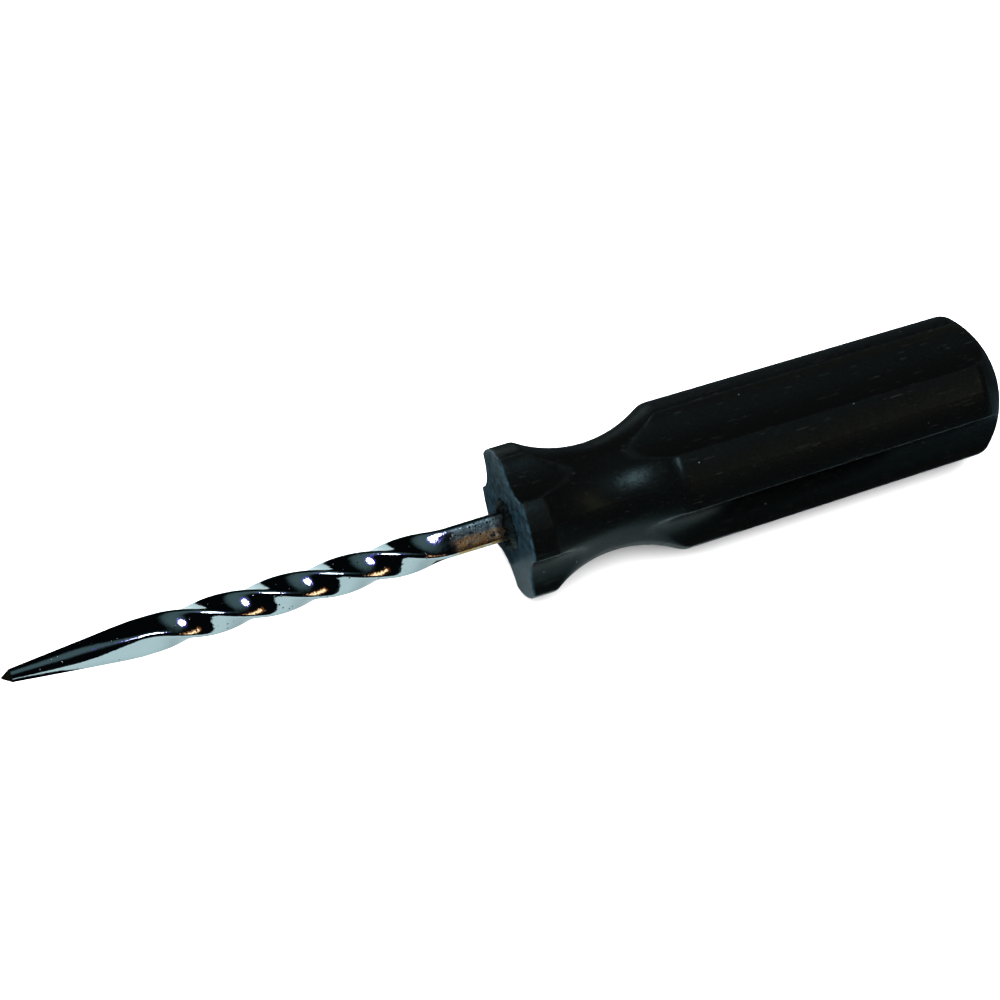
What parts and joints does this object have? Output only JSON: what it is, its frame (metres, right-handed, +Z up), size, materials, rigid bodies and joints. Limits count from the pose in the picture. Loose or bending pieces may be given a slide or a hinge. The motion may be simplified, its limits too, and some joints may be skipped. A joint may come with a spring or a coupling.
{
  "type": "tyre plug insertion tool",
  "caption": "Hand tool: a twisted, chrome-plated square steel probe that tapers to a short point, fixed in a fluted black plastic handle with a front collar, a waist and a domed end.",
  "frame": {"origin": "on the surface that the tool lies on, under the centre of the collar's front face, which is also the middle of its length", "axes": "+X along the tool's axis from the point towards the handle's domed end, +Z up, the tool lying on two ridges of its handle"},
  "size_m": [0.22, 0.0302, 0.0302],
  "materials": {
    "handle_plastic": "black moulded plastic with a soft sheen, scuffed on the collar's face",
    "shank_plating": "bright plating over drawn bar, bare and dull at the point",
    "adhesive": "dark, rough set adhesive"
  },
  "bodies": {
    "root": {"handle": "handle_plastic", "shank": "shank_plating", "adhesive": "adhesive"}
  },
  "joints": []
}
